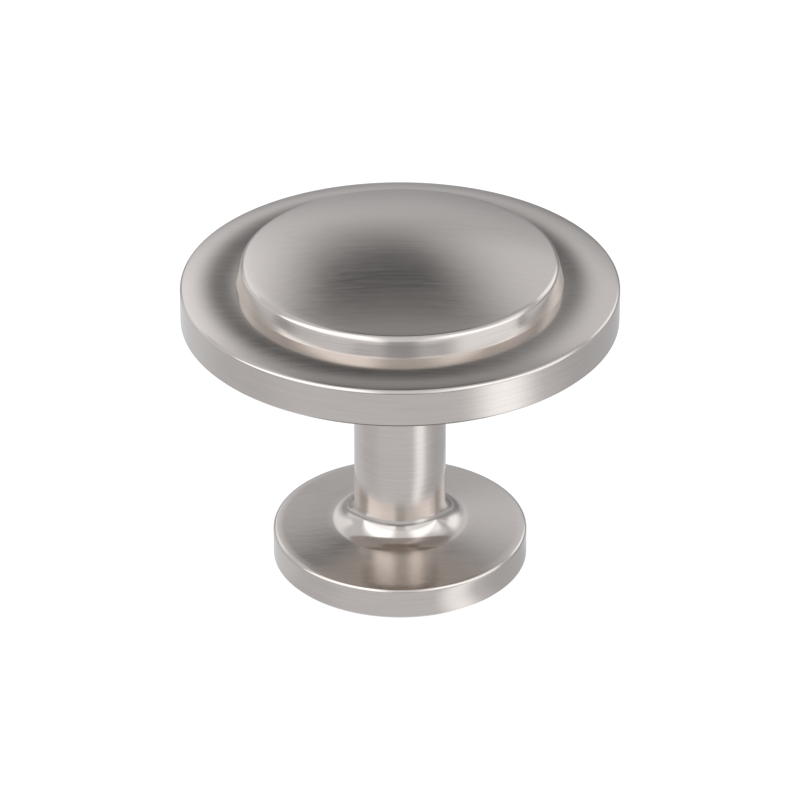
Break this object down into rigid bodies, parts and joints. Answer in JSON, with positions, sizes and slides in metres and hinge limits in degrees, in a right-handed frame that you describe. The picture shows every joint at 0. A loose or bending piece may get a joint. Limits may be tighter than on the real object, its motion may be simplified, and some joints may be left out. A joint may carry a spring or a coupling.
{
  "type": "cabinet knob",
  "caption": "Round satin nickel cabinet knob: domed disc on a ringed flange, slim stem flaring into a round foot, with a blind tapped hole for one screw.",
  "frame": {"origin": "middle of the foot's flat face, which sits against the door or drawer front", "axes": "+Z out along the knob's axis, away from the door; X and Y lie in the door's plane"},
  "size_m": [0.032, 0.032, 0.0259],
  "materials": {
    "satin_nickel": "brushed satin nickel plate"
  },
  "bodies": {
    "root": {"knob": "satin_nickel"}
  },
  "joints": []
}
